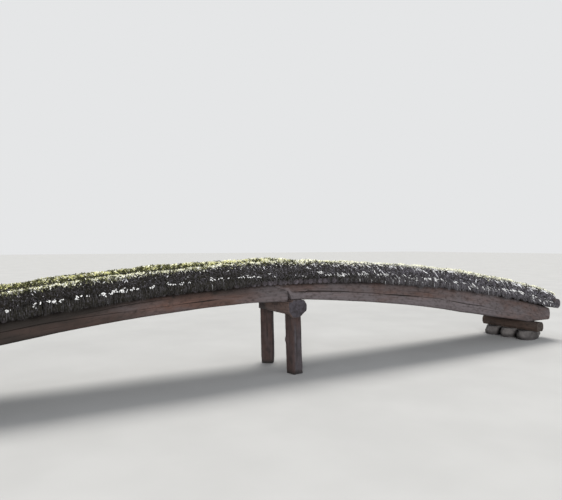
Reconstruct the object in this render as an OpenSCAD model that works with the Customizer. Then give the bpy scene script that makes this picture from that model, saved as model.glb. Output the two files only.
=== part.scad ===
// Low-arched garden bridge: an earth path with turf kerbs on a floor of round logs,
// carried by two lines of hewn, naturally curved log girders. The girders rest on log sills and
// boulders at the ends and are scarfed together over one log cap on two posts in the middle.
// Millimetres. X runs along the bridge, -Y is the front, Z is up from the foot of the posts.

/* [Arch] */
// Length over the two end logs
bridge_len = 16200; // [14000:100:18000]
// Rise of the log floor from its ends to the crown
arch_rise = 970; // [700:10:1100]
// Height of the log floor's centre line at the crown, above the foot of the posts
floor_crown = 1812; // [1700:10:1950]

/* [Log floor] */
// Length of the floor logs across the bridge
floor_w = 1780; // [1700:10:1780]
// Mean diameter of the floor logs
floor_log_d = 103; // [95:1:103]
// Least spacing of the floor logs along the arch
floor_pitch = 109; // [109:1:125]
// Diameter of the log that closes the floor at each end
end_log_d = 250; // [220:5:270]
// Length of the logs that close the floor
end_log_len = 1860; // [1850:10:2000]

/* [Earth and turf] */
// Width of the walkway between the kerbs
walk_w = 1040; // [950:10:1100]
// Thickness of the earth at the edge of the walkway
earth_t = 140; // [110:5:160]
// Height of the camber in the middle of the walkway
camber = 25; // [10:5:40]
// Height of the turf kerbs above the floor logs
turf_h = 320; // [280:5:340]
// Width of a turf kerb at its foot
turf_w = 345; // [320:5:360]

/* [Girders] */
// Distance between the centre lines of the two girder lines
girder_gap = 980; // [940:10:1020]
// Width of a girder over the pier
girder_w_pier = 290; // [270:5:300]
// Width of a girder at the bank
girder_w_bank = 350; // [320:5:370]
// Length of the sloping scarf between two girders
scarf_len = 280; // [240:10:400]
// Depth of the blunt nib at the tip of the scarf
scarf_nib = 50; // [30:1:60]
// Height of the left girder's toe on the cap log
toe_h = 200; // [170:5:210]
// Open gap between the girders beside the toe, at its top and at its foot
scarf_gap = 16; // [10:1:30]
foot_gap = 95; // [60:5:100]

/* [Pier] */
// Distance between the centres of the two posts
post_gap = 1080; // [1060:5:1100]
// Width of the near post across its hewn faces
near_post_w = 245; // [230:5:260]
// Width of the far post across its hewn faces
far_post_w = 255; // [230:5:260]
// Angle that each post is turned about its own axis, near and far
post_turns = [10, 51];
// Distance that each post leans along the bridge, from its foot to its top, near and far
post_leans = [45, 30];
// Width of the cap log
cap_w = 415; // [400:5:430]
// Places of the cap log's near and far ends
cap_near = -765; // [-800:5:-740]
cap_far = 640; // [620:5:680]
// Corner hewn off the left of its far end, across and along the log
cap_chamfer = [94, 180];
// Height of the hewn underside of the cap, where the posts are let in
cap_bottom = 1167; // [1160:1:1180]
// The near end keeps its full round and hooks down over the face of the post
hook_drop = 54; // [40:1:60]
hook_t = 72; // [60:1:75]

/* [Bank ends] */
// Distance of each sill log from the middle of the bridge
sill_at = 7350; // [7250:10:7450]
// Width of the sill logs
sill_w = 280; // [250:5:300]
// Length of the sill logs across the bridge
sill_len = 1700; // [1600:10:1800]
// Height of the sill logs
sill_h = 240; // [200:5:260]

/* [Hidden] */

// Colours of weathered timber, earth, turf and stone
post_brown = [0.36, 0.27, 0.22];
cap_grey = [0.40, 0.38, 0.38];
girder_brown = [0.47, 0.37, 0.30];
floor_brown = [0.30, 0.27, 0.24];
earth_tan = [0.55, 0.50, 0.40];
turf_green = [0.45, 0.50, 0.20];
stone_grey = [0.42, 0.42, 0.41];

half_len = bridge_len / 2;
// Radius of the arch on the centre line of the floor logs, from its chord and its rise
arch_r = (pow(half_len, 2) + pow(arch_rise, 2)) / (2 * arch_rise);
arch_z = floor_crown - arch_r;
arc_fn = 256;

// Angle along the arch for a distance measured on the floor's centre line
function turn_of(arc) = arc / arch_r * 180 / PI;

// Height of an arc that runs a given distance outside the floor's centre line, at a place along X
function arc_height(x, out = 0) = arch_z + sqrt(pow(arch_r + out, 2) - x * x);

// Small repeatable differences between like logs, from -1 to 1
function vary(i) = sin(i * 137.5 + 40 * sin(i * 71));

// Floor logs: they fill the arch between the two end logs in equal bays
bays = 8;
log_vary_d = 5;
log_vary_len = 34;
log_sides = 10;
end_log_sides = 24;
log_max_d = floor_log_d + log_vary_d;
seat_out = -floor_log_d / 2;
end_turn = asin((half_len - end_log_d / 2) / (arch_r + seat_out + end_log_d / 2));
floor_turn = end_turn - turn_of(end_log_d / 2 + 4);
logs_in_bay = floor(2 * floor_turn / turn_of(floor_pitch) / bays);
floor_logs = bays * logs_in_bay;
log_turn = 2 * floor_turn / floor_logs;

// Earth and turf lie on the highest of the floor logs
bed_out = seat_out + log_max_d + 0.5;
bed_turn = end_turn - turn_of(end_log_d / 2 + 2);
walk_half = walk_w / 2;

// Girders: depth below the log floor, as distance from the joint over the pier and depth there
joint_x = -195;
left_depths = [[0, 345], [300, 345], [700, 330], [1200, 326], [3300, 338], [6000, 375], [8200, 400]];
right_depths = [[0, 308], [480, 338], [1000, 368], [1600, 402], [3100, 468], [4800, 538],
                [6100, 556], [8200, 490]];
girder_end_x = half_len - 60;
girder_step = 330;
// Rounding of a girder's corners, and swelling of its faces as a share of its width
corner_r = 75;
face_bow = 0.03;
// Drying check in the outer face: its place up the face, its depth and half its width
check_place = 0.55;
check_depth = 16;
check_half_w = 5;
// Length of the left girder's toe that is cut level to lie on the cap log
toe_len = 100;

// Pier: seats of the two girders on the cap log, and the tenons of the posts
left_seat = arc_height(joint_x, seat_out) - left_depths[0][1];
right_seat = arc_height(joint_x, seat_out) - right_depths[0][1];
cap_x = -42;
cap_right = cap_x + cap_w / 2;
cap_seat_step = joint_x + 40;
tenon_w = 90;
tenon_h = 60;
tenon_play = 1;
// Share of a post's width that is hewn off at each corner
post_corner = 0.11;
// Uneven octagon of the cap log, whose upper left corner is cut away for a seat, as shares of
// half its width and of its height
cap_octagon = [[-0.54, 0], [0.21, 0], [1, 0.37], [1, 0.74], [0.65, 1], [-1, 1], [-1, 0.36]];

// Octagon of the sill logs, as shares of half their width and of their height
sill_octagon = [[-0.7, 0], [0.7, 0], [1, 0.3], [1, 0.7], [0.7, 1], [-0.7, 1], [-1, 0.7], [-1, 0.3]];

// Bank seats: outward from here the undersides of the girders are cut level
bank_seat_x = sill_at - sill_w / 2;
left_bank_seat = arc_height(bank_seat_x, seat_out) - lookup(bank_seat_x + joint_x, left_depths);
right_bank_seat = arc_height(bank_seat_x, seat_out) - lookup(bank_seat_x - joint_x, right_depths);

// Sweeps an outline of [out, across] points along the arch between two angles from the crown
module sweep_arch(from, to)
{
    translate([0, 0, arch_z])
        rotate([90, 0, 0])
        rotate([0, 0, 90 - to])
        rotate_extrude(angle = to - from, $fn = arc_fn)
        translate([arch_r, 0])
        children();
}

// Lays a round log across the bridge on the girders, at an angle along the arch from the crown
module lay_across(turn, d)
{
    translate([0, 0, arch_z])
        rotate([0, turn, 0])
        translate([0, 0, arch_r + seat_out + d / 2])
        rotate([90, 0, 0])
        children();
}

// One bay of floor logs, each a little different in thickness, length and place
module floor_bay(bay)
{
    color(floor_brown)
        for (i = [0 : logs_in_bay - 1])
        {
            n = bay * logs_in_bay + i;
            d = floor_log_d + log_vary_d * vary(n);
            translate([0, log_vary_len * vary(n + 50) / 2, 0])
                lay_across((n - (floor_logs - 1) / 2) * log_turn, d)
                cylinder(h = floor_w + log_vary_len * vary(n + 90), d = d, center = true,
                         $fn = log_sides);
        }
}

// Log that closes the floor and holds the earth at one end
module end_log(side)
{
    color(floor_brown)
        lay_across(side * end_turn, end_log_d)
        cylinder(h = end_log_len, d = end_log_d, center = true, $fn = end_log_sides);
}

// One length of the earth path between the turf kerbs, with a slight camber, numbered from the
// left end. A length covers one bay of the floor.
module earth_path(part)
{
    top = bed_out + earth_t;
    length_turn = 2 * bed_turn / bays;
    color(earth_tan)
        sweep_arch(-bed_turn + (part - 1) * length_turn, -bed_turn + part * length_turn)
            polygon(concat([[bed_out, -walk_half]],
                           [for (k = [-1 : 0.25 : 1])
                               [top + camber * (1 - k * k), walk_half * k]],
                           [[bed_out, walk_half]]));
}

// Outline of a turf kerb from its inner foot: a bank up from the walkway, a rounded rim and
// a steep outer face. Points are [out from the floor, across from the walkway's edge].
kerb_bulge = 20;
rim_r = turf_w * 0.28;
rim_half_w = rim_r * 1.15;
rim_y = turf_w - kerb_bulge - rim_half_w;
kerb_outline = concat(
    [[0, 0], [earth_t, 0]],
    [for (a = [150 : -30 : 30]) [turf_h - rim_r + rim_r * sin(a), rim_y + rim_half_w * cos(a)]],
    [[turf_h * 0.55, turf_w], [turf_h * 0.25, turf_w - 5], [0, turf_w - kerb_bulge]]);

function kerb_section(side) = [for (p = kerb_outline) [bed_out + p[0], -side * (walk_half + p[1])]];

// One length of turf kerb, numbered from the left end. A length covers two bays of the floor.
module turf_kerb(side, part)
{
    length_turn = bed_turn / 2;
    color(turf_green)
        sweep_arch((part - 3) * length_turn, (part - 2) * length_turn)
            polygon(kerb_section(side));
}

// The kerbs end in sods over the end logs, as far as the bridge is long
kerb_turn = asin(half_len / (arch_r + bed_out + turf_h));
end_log_play = 6;

// Sods that lie over the end log and against the kerb
module end_turf(side, end)
{
    r = end_log_d / 2 + end_log_play;
    color(turf_green)
        difference()
        {
            sweep_arch(end < 0 ? -kerb_turn : bed_turn, end < 0 ? -bed_turn : kerb_turn)
                polygon(kerb_section(side));
            lay_across(end * end_turn, end_log_d)
                linear_extrude(end_log_len + 2 * end_log_play, center = true)
                polygon([for (i = [0 : end_log_sides - 1])
                            r * [cos(360 * i / end_log_sides), sin(360 * i / end_log_sides)]]);
        }
}

// Section of a hewn girder: flat sides and top, rounded corners, and a long drying check
// in its outer face. Points are [across, up] and run once round the section.
function girder_section(width, top, bottom) =
    let (w = width / 2,
         depth = top - bottom,
         r = min(corner_r, depth * 0.3),
         mid = bottom + depth * check_place,
         open = min(check_half_w, depth * 0.1),
         deep = min(check_depth, depth * 0.2),
         bow = width * face_bow)
    [[-w + r, bottom], [w - r, bottom],
     [w - r * 0.3, bottom + r * 0.3], [w + bow * 0.5, bottom + r],
     [w + bow, mid - open], [w + bow - deep, mid], [w + bow, mid + open],
     [w, top - r * 0.8], [w - r * 0.25, top - r * 0.22], [w - r * 0.9, top],
     [-w + r * 0.9, top], [-w + r * 0.25, top - r * 0.22],
     [-w, top - r * 0.8], [-w - bow, mid], [-w - bow * 0.5, bottom + r],
     [-w + r * 0.3, bottom + r * 0.3]];

// The scarf's sloping face, from the nib at its high end down to the blunt toe
scarf_top_x = joint_x - scarf_len;
scarf_toe_z = left_seat + toe_h;
shoulder_x = joint_x + foot_gap;
function scarf_z(x) =
    let (high = arc_height(scarf_top_x, seat_out) - scarf_nib)
    high + (scarf_toe_z - high) * (x - scarf_top_x) / scarf_len;

// Places of the sections along a girder, after the first place and up to the last
function places(from, to) =
    let (steps = ceil(abs(to - from) / girder_step))
    [for (i = [1 : steps]) from + (to - from) * i / steps];

left_places = concat(places(-girder_end_x - 1, -girder_end_x),
                     places(-girder_end_x, -bank_seat_x),
                     places(-bank_seat_x, scarf_top_x - 0.5),
                     [scarf_top_x, joint_x - scarf_len / 2, joint_x - toe_len, joint_x]);
right_places = concat([scarf_top_x, joint_x - scarf_len / 2, joint_x, joint_x + scarf_gap,
                       shoulder_x, cap_right + 1],
                      places(cap_right + 1, bank_seat_x),
                      places(bank_seat_x, girder_end_x));

function left_top(x) = x >= scarf_top_x ? scarf_z(x) : arc_height(x, seat_out);
function left_bottom(x) =
    x > joint_x - toe_len - 1 ? left_seat
    : x < -bank_seat_x ? left_bank_seat
    : arc_height(x, seat_out) - lookup(joint_x - x, left_depths);
function right_bottom(x) =
    x <= joint_x + scarf_gap ? scarf_z(min(x, joint_x)) + 1
    : x <= cap_right + 1 ? right_seat
    : x > bank_seat_x ? right_bank_seat
    : arc_height(x, seat_out) - lookup(x - joint_x, right_depths);

function girder_width(x) =
    girder_w_pier + (girder_w_bank - girder_w_pier) * abs(x) / girder_end_x;

// Skin through sections that all have the same number of points, closed by flat ends.
// Each section runs anticlockwise seen from the side of the next one.
module loft(sections)
{
    n = len(sections[0]);
    last = len(sections) - 1;
    sides = [for (i = [0 : last - 1]) for (j = [0 : n - 1])
                let (a = i * n + j, b = i * n + (j + 1) % n)
                [a, a + n, b + n, b]];
    ends = [[for (j = [0 : n - 1]) j], [for (j = [n - 1 : -1 : 0]) last * n + j]];
    polyhedron(points = [for (s = sections) each s], faces = concat(sides, ends), convexity = 6);
}

// A girder is drawn on the far side, its outer face outward, and mirrored for the near side
module girder(side, sections)
{
    color(girder_brown)
        mirror([0, side < 0 ? 1 : 0, 0])
        translate([0, girder_gap / 2, 0])
        loft(sections);
}

// Girder to the left of the joint, whose toe lies on the cap log under its neighbour
module left_girder(side)
{
    girder(side, [for (x = left_places)
                     [for (p = girder_section(girder_width(x), left_top(x), left_bottom(x)))
                         [x, p[0], p[1]]]]);
}

// Girder to the right of the joint, whose tip rides up the scarf
module right_girder(side)
{
    girder(side, [for (x = right_places)
                     [for (p = girder_section(girder_width(x), arc_height(x, seat_out),
                                              right_bottom(x)))
                         [x, p[0], p[1]]]]);
}

// Hewn post: four broad faces with the corners taken off, a slight lean, and a tenon let into
// the cap log. The row is 0 for the near post and 1 for the far one.
module post(row, width)
{
    w = width / 2;
    corner = width * post_corner;
    lean = post_leans[row];
    room = 2 * width;
    color(post_brown)
        translate([0, (row - 0.5) * post_gap, 0])
        {
            intersection()
            {
                translate([lean / 2, 0, 0])
                    rotate([0, -atan(lean / cap_bottom), 0])
                    rotate([0, 0, post_turns[row]])
                    translate([0, 0, -width])
                    linear_extrude(cap_bottom + 2 * width)
                    polygon([[w, -w + corner], [w, w - corner], [w - corner, w], [-w + corner, w],
                             [-w, w - corner], [-w, -w + corner], [-w + corner, -w],
                             [w - corner, -w]]);
                translate([-room / 2, -room / 2, 0])
                    cube([room, room, cap_bottom]);
            }
            translate([-lean / 2 - tenon_w / 2, -tenon_w / 2, cap_bottom])
                cube([tenon_w, tenon_w, tenon_h]);
        }
}

// Cap log: hewn to an uneven octagon that is flat on top, with a lower seat for the left girders
// and mortises for the posts. Its underside is hewn flat as far as the hook at the near end.
module cap_log()
{
    w = cap_w / 2;
    foot = cap_bottom - hook_drop;
    h = right_seat - foot;
    mortise = tenon_w + 2 * tenon_play;
    cx = cap_chamfer[0];
    cy = cap_chamfer[1];
    color(cap_grey)
        difference()
        {
            translate([cap_x, cap_far, foot])
                rotate([90, 0, 0])
                linear_extrude(cap_far - cap_near)
                polygon([for (p = cap_octagon) [w * p[0], h * p[1]]]);
            translate([cap_seat_step - cap_w, 2 * cap_near, left_seat])
                cube([cap_w, -4 * cap_near, cap_w]);
            translate([cap_x - cap_w, cap_near + hook_t, 0])
                cube([2 * cap_w, -2 * cap_near, cap_bottom]);
            translate([cap_x - w, cap_far, 0])
                linear_extrude(2 * cap_bottom)
                polygon([[-cx, -2 * cy], [2 * cx, cy], [-cx, cy]]);
            for (row = [0, 1])
                translate([-post_leans[row] / 2 - mortise / 2,
                           (row - 0.5) * post_gap - mortise / 2, cap_bottom - 1])
                    cube([mortise, mortise, tenon_h + tenon_play + 1]);
        }
}

// Sill log under the girder ends, hewn flat above and below
module sill_log(side)
{
    w = sill_w / 2;
    color(girder_brown)
        translate([side * sill_at, 0, stone_top(side)])
        rotate([90, 0, 0])
        linear_extrude(sill_len, center = true)
        polygon([for (p = sill_octagon) [w * p[0], sill_h * p[1]]]);
}

function stone_top(side) = (side < 0 ? left_bank_seat : right_bank_seat) - sill_h;

// Bank boulder with a flat bed and a flat top. It is widest a little above the middle, and its
// outline wanders by a few hundredths in two and in three waves.
stone_w = 820;
stone_d = 460;
stone_rings = 6;
stone_sides = 14;
stone_top_swell = 0.8;
stone_wander = [0.06, 0.05];
function stone_swell(t) = stone_top_swell + (1 - stone_top_swell) * sin(27 + 135 * t);
function stone_radius(a, t, seed) =
    stone_swell(t) * (1 + stone_wander[0] * sin(2 * a + 40 * seed)
                        + stone_wander[1] * sin(3 * a + 90 * t + 70 * seed));

module bank_stone(side, row, seed)
{
    color(stone_grey)
        translate([side * sill_at + 30 * vary(seed), row * girder_gap / 2, 0])
        loft([for (i = [0 : stone_rings])
                 let (t = i / stone_rings)
                 [for (j = [0 : stone_sides - 1])
                     let (a = 360 * j / stone_sides, r = stone_radius(a, t, seed))
                     [stone_w / 2 * r * cos(a), stone_d / 2 * r * sin(a), stone_top(side) * t]]]);
}

post(0, near_post_w);  // near_post
post(1, far_post_w);  // far_post
cap_log();
left_girder(-1);  // near_left_girder
right_girder(-1);  // near_right_girder
left_girder(1);  // far_left_girder
right_girder(1);  // far_right_girder
floor_bay(0);  // floor_logs_1
floor_bay(1);  // floor_logs_2
floor_bay(2);  // floor_logs_3
floor_bay(3);  // floor_logs_4
floor_bay(4);  // floor_logs_5
floor_bay(5);  // floor_logs_6
floor_bay(6);  // floor_logs_7
floor_bay(7);  // floor_logs_8
end_log(-1);  // left_end_log
end_log(1);  // right_end_log
earth_path(1);  // earth_1
earth_path(2);  // earth_2
earth_path(3);  // earth_3
earth_path(4);  // earth_4
earth_path(5);  // earth_5
earth_path(6);  // earth_6
earth_path(7);  // earth_7
earth_path(8);  // earth_8
turf_kerb(-1, 1);  // near_turf_1
turf_kerb(-1, 2);  // near_turf_2
turf_kerb(-1, 3);  // near_turf_3
turf_kerb(-1, 4);  // near_turf_4
turf_kerb(1, 1);  // far_turf_1
turf_kerb(1, 2);  // far_turf_2
turf_kerb(1, 3);  // far_turf_3
turf_kerb(1, 4);  // far_turf_4
end_turf(-1, -1);  // near_left_end_turf
end_turf(-1, 1);  // near_right_end_turf
end_turf(1, -1);  // far_left_end_turf
end_turf(1, 1);  // far_right_end_turf
sill_log(-1);  // left_sill_log
sill_log(1);  // right_sill_log
bank_stone(-1, -1, 3);  // left_near_stone
bank_stone(-1, 0, 11);  // left_middle_stone
bank_stone(-1, 1, 19);  // left_far_stone
bank_stone(1, -1, 27);  // right_near_stone
bank_stone(1, 0, 35);  // right_middle_stone
bank_stone(1, 1, 43);  // right_far_stone
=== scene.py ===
"""Looks of the low-arched garden bridge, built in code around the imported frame.

Lengths are in metres. X runs along the bridge, Y from the near side to the far side, and Z up from
the foot of the posts. A turn is the angle along the arch from the crown, and out is the distance
outside the centre line of the log floor. A side is -1 for near and 1 for far, with 0 for a middle
row, and an end is -1 for left and 1 for right.
"""

import itertools
import math

import bpy
import numpy as np
from mathutils import Matrix

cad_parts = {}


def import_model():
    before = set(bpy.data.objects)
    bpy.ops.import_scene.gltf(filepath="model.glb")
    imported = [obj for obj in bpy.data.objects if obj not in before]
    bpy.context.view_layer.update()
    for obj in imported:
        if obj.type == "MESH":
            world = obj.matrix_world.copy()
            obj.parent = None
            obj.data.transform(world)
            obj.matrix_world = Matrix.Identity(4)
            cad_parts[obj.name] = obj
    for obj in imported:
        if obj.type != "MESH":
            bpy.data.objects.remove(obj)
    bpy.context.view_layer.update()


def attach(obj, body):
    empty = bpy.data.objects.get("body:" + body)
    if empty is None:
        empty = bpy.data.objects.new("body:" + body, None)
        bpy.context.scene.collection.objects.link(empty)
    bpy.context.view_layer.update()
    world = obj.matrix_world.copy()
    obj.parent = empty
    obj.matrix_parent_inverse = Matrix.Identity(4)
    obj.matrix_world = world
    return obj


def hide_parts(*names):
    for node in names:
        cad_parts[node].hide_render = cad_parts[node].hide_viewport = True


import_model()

SIDES = {-1: "near", 0: "middle", 1: "far"}
ENDS = {-1: "left", 1: "right"}

# Arch
HALF_LEN = 8.1
ARCH_RISE = 0.97
FLOOR_CROWN = 1.812
ARCH_R = (HALF_LEN ** 2 + ARCH_RISE ** 2) / (2 * ARCH_RISE)
ARCH_Z = FLOOR_CROWN - ARCH_R

# Log floor
FLOOR_W = 1.78
FLOOR_LOG_D = 0.103
LOG_VARY_D = 0.005
LOG_VARY_LEN = 0.034
SEAT_OUT = -FLOOR_LOG_D / 2
END_LOG_R = 0.125
END_LOG_LEN = 1.86
END_LOG_ARC = ARCH_R + SEAT_OUT + END_LOG_R
END_TURN = math.asin((HALF_LEN - END_LOG_R) / END_LOG_ARC)
FLOOR_TURN = END_TURN - (END_LOG_R + 0.004) / ARCH_R
BAYS = 8
LOGS_IN_BAY = 18
FLOOR_LOGS = BAYS * LOGS_IN_BAY
LOG_TURN = 2 * FLOOR_TURN / FLOOR_LOGS

# Earth and turf
BED_OUT = SEAT_OUT + FLOOR_LOG_D + LOG_VARY_D + 0.0005
BED_TURN = END_TURN - (END_LOG_R + 0.002) / ARCH_R
WALK_HALF = 0.52
EARTH_T = 0.14
CAMBER = 0.025
TURF_H = 0.32
TURF_W = 0.345
KERB_TURN = math.asin(HALF_LEN / (ARCH_R + BED_OUT + TURF_H))
KERB_JOINTS = (-KERB_TURN, -BED_TURN / 2, 0, BED_TURN / 2, KERB_TURN)
KERB_PARTS = range(1, 5)

# Girders, with depths by distance from the joint
GIRDER_GAP = 0.98
GIRDER_W = (0.29, 0.35)
GIRDER_END = HALF_LEN - 0.06
JOINT_X = -0.195
SCARF_LEN = 0.28
SCARF_NIB = 0.05
SCARF_TOP_X = JOINT_X - SCARF_LEN
TOE_H = 0.2
GAP_TOP_X = JOINT_X + 0.016
SHOULDER_X = JOINT_X + 0.095
DEPTHS = {
    -1: {0: 0.345, 0.3: 0.345, 0.7: 0.33, 1.2: 0.326, 3.3: 0.338, 6.0: 0.375, 8.2: 0.4},
    1: {0: 0.308, 0.48: 0.338, 1.0: 0.368, 1.6: 0.402, 3.1: 0.468, 4.8: 0.538, 6.1: 0.556, 8.2: 0.49},
}

# Pier
CAP_X = -0.042
CAP_W = 0.415
CAP_RIGHT = CAP_X + CAP_W / 2
CAP_NEAR = -0.765
CAP_FAR = 0.64
CAP_BOTTOM = 1.167
CAP_CHAMFER = (0.094, 0.18)
HOOK_DROP = 0.054
HOOK_T = 0.072
CAP_STEP_X = JOINT_X + 0.04
POST_Y = 0.54
POST_W = {-1: 0.245, 1: 0.255}
POST_TURN = {-1: 10, 1: 51}
POST_LEAN = {-1: 0.045, 1: 0.030}

# Bank ends
SILL_X = 7.35
SILL_W = 0.28
SILL_H = 0.24
SILL_LEN = 1.7
STONE_W = 0.82
STONE_D = 0.46
BANK_SEAT_X = SILL_X - SILL_W / 2

# Fineness of the meshes, and numbers of small pieces
GIRDER_STEP = 0.032
END_LOG_POINTS = 48
BEAM_POINTS = 84
POST_POINTS = 88
STONE_POINTS = 72
KERB_RINGS = 118
KERB_POINTS = 36
PATH_RINGS = 210
PATH_POINTS = (44, 6)
STRAWS = 1500
HANGING_LEAVES = 19000
PEBBLES = 1250


def graded(place, table):
    """A value that changes evenly between the places where a table gives it."""
    return np.interp(place, list(table), list(table.values()))


def seat_height(x):
    """Height of the arc on which the floor logs rest."""
    return ARCH_Z + np.sqrt((ARCH_R + SEAT_OUT) ** 2 - np.square(x))


def end_log_heart(end):
    """Place along the bridge and height of the middle of an end log."""
    return END_LOG_ARC * math.sin(end * END_TURN), END_LOG_ARC * math.cos(END_TURN) + ARCH_Z


SEAT = {end: seat_height(JOINT_X) - DEPTHS[end][0] for end in ENDS}
BANK_SEAT = {end: seat_height(BANK_SEAT_X) - graded(BANK_SEAT_X - end * JOINT_X, DEPTHS[end])
             for end in ENDS}


def vary(i):
    """Small repeatable differences between like logs, from -1 to 1, as in the frame."""
    return math.sin(math.radians(i * 137.5 + 40 * math.sin(math.radians(i * 71))))


# Vectors and noise

def vectors(*values):
    """Vectors from separate coordinates, which may differ in shape."""
    return np.stack(np.broadcast_arrays(*values), -1)


def axes(points):
    """The coordinates of points, each as an array of its own."""
    return np.moveaxis(points, -1, 0)


def unit(values):
    return values / np.maximum(np.linalg.norm(values, axis=-1, keepdims=True), 1e-9)


def blend(value, low, high):
    """0 below low, 1 above high, and smooth between them."""
    t = np.clip((value - low) / (high - low), 0, 1)
    return t * t * (3 - 2 * t)


def bell(distance, width=1.0):
    """1 at no distance, and smoothly less over a width."""
    return np.exp(-np.square(distance / width))


def lattice(i, j, k, seed):
    """A fixed number from 0 to 1 for each whole-number place."""
    n = (i * 73856093) ^ (j * 19349663) ^ (k * 83492791) ^ (seed * 40503 + 977)
    n = (n & 0xFFFFFFFF) * 2654435761 & 0xFFFFFFFF
    n = (n ^ (n >> 15)) * 2246822519 & 0xFFFFFFFF
    return (n ^ (n >> 13)) / float(0xFFFFFFFF)


def noise(points, seed):
    """Smooth value noise from -1 to 1, with features about one unit across."""
    cell = np.floor(points).astype(np.int64)
    t = points - cell
    t = t * t * (3 - 2 * t)
    total = np.zeros(points.shape[:-1])
    for corner in itertools.product((0, 1), repeat=3):
        weight = np.prod(np.where(corner, t, 1 - t), axis=-1)
        total += weight * lattice(*axes(cell + corner), seed)
    return 2 * total - 1


def fbm(points, octaves, seed):
    """Noise with finer and weaker layers added."""
    return sum(noise(points * 2.03 ** k, seed + k) * 0.5 ** k for k in range(octaves))


def wander(values, seed, scale):
    """Noise along one line."""
    return noise(vectors(values * scale, seed * 3.7, 0.5), seed)


# Meshes

def show(name, data):
    """A new object in the scene."""
    obj = bpy.data.objects.new(name, data)
    bpy.context.scene.collection.objects.link(obj)
    return obj


class Solid:
    """Points and faces collected for one piece. Each point has its grain, which is its place in
    the log that it was cut from (along, across, up), and its finish, which is three shares from
    0 to 1 that the material reads."""

    def __init__(self):
        self.points, self.grain, self.finish, self.faces = [], [], [], []
        self.count = 0

    def add(self, points, faces, grain, finish):
        self.points.append(points)
        self.grain.append(grain)
        self.finish.append(finish)
        self.faces += [[v + self.count for v in face] for face in faces]
        self.count += len(points)
        return self

    def add_tube(self, points, grain, *shares):
        """Adds rings of points with the three shares of their finish."""
        return self.add(points.reshape(-1, 3), tube_faces(*points.shape[:2]), grain.reshape(-1, 3),
                        vectors(*shares).reshape(-1, 3))

    def add_leaves(self, points, *shares):
        """Adds leaves of five points each with the three shares of their finish."""
        first = np.arange(len(points))[:, None] * 5
        faces = (first + (0, 1, 2, 3)).tolist() + (first + (3, 2, 4)).tolist()
        flat = points.reshape(-1, 3)
        return self.add(flat, faces, flat, np.repeat(vectors(*shares), 5, axis=0))

    def piece(self, name, material, slot, nodes, sharp=38):
        """Makes one object of all that was collected. It rides on the root and stands for nodes."""
        mesh = bpy.data.meshes.new(name)
        mesh.from_pydata(np.concatenate(self.points).tolist(), [], self.faces)
        for key, values in (("grain", self.grain), ("finish", self.finish)):
            layer = mesh.attributes.new(key, "FLOAT_VECTOR", "POINT")
            layer.data.foreach_set("vector", np.concatenate(values).astype(np.float32).ravel())
        mesh.polygons.foreach_set("use_smooth", [True] * len(mesh.polygons))
        mesh.set_sharp_from_angle(angle=math.radians(sharp))
        mesh.materials.append(material)
        obj = show(name, mesh)
        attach(obj, "root")
        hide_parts(*nodes)


def tube_faces(count, around):
    """Quads between rings of points, and one small face that closes each end."""
    start = np.arange(count - 1)[:, None] * around
    here = np.arange(around)
    after = (here + 1) % around
    quads = vectors(start + here, start + after, start + around + after, start + around + here)
    last = (count - 1) * around
    return quads.reshape(-1, 4).tolist() + [list(range(around))[::-1], [last + j for j in range(around)]]


def pushed(rings, height):
    """Rings of a tube moved outwards by a height for each point. Each ring runs anticlockwise
    seen from its end."""
    around = np.roll(rings, -1, axis=1) - np.roll(rings, 1, axis=1)
    return rings + unit(np.cross(around, np.gradient(rings, axis=0))) * height[..., None]


def close_ends(rings, shares=(0.06, 0.3, 0.55, 0.8, 0.95), bevel=0.004):
    """Adds smaller rings inside the first and the last ring, so that the ends are closed.
    Returns all rings and, as a column, 1 for each ring that lies on a cut end."""
    body, caps = rings.copy(), []
    for edge, inner, order in ((0, 1, 1), (-1, -2, -1)):
        middle = rings[edge].mean(0)
        caps.append([middle + (rings[edge] - middle) * share for share in shares[::order]])
        body[edge] += unit(rings[inner].mean(0) - middle) * bevel
    more = len(shares)
    cut = np.pad(np.zeros((len(rings), 1)), ((more, more), (0, 0)), constant_values=1)
    return np.concatenate([caps[0], body, caps[1]]), cut


def to_ends(values, cut, mode="edge"):
    """Values by ring with more of them for the rings that close the ends."""
    more = (len(cut) - len(values)) // 2
    return np.pad(values, ((more, more), (0, 0)), mode=mode)


def lap(outline):
    """A closed outline with its first point again at its end, and the distance to each point."""
    closed = np.concatenate([outline, outline[:1]])
    return closed, np.concatenate([[0], np.cumsum(np.linalg.norm(np.diff(closed, axis=0), axis=1))])


def worn_section(outline, count, rounds):
    """Points at even distances round a closed outline with its corners worn down."""
    closed, place = lap(np.array(outline, float))
    wanted = np.linspace(0, place[-1], count, endpoint=False)
    section = vectors(*(np.interp(wanted, place, values) for values in closed.T))
    for _ in range(rounds):
        section = (np.roll(section, 1, 0) + 2 * section + np.roll(section, -1, 0)) / 4
    return section


def hewn(rings, along, seed, depth=0.0025, mark=(0.16, 0.075)):
    """Shallow axe marks and weathered ridges along the grain, as a height for each point.
    along is each ring's place on the log, and a mark has a length and a width."""
    girth = np.cumsum(np.linalg.norm(np.roll(rings, -1, axis=1) - rings, axis=-1), axis=1)
    length = along[:, None]
    row = np.floor(girth / mark[1]).astype(np.int64)
    u = (length / mark[0] + lattice(row, row, row, seed)) % 1
    v = (girth / mark[1]) % 1
    scoop = (1 - (2 * u - 1) ** 2) * (1 - (2 * v - 1) ** 2)
    place = vectors(length, girth, 0)
    worn = fbm(place * (2.2, 14, 1), 3, seed + 5)
    fibres = noise(place * (7, 95, 1), seed + 9)
    return depth * (worn - 0.6 * scoop + 0.28 * fibres)


# Materials

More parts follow.
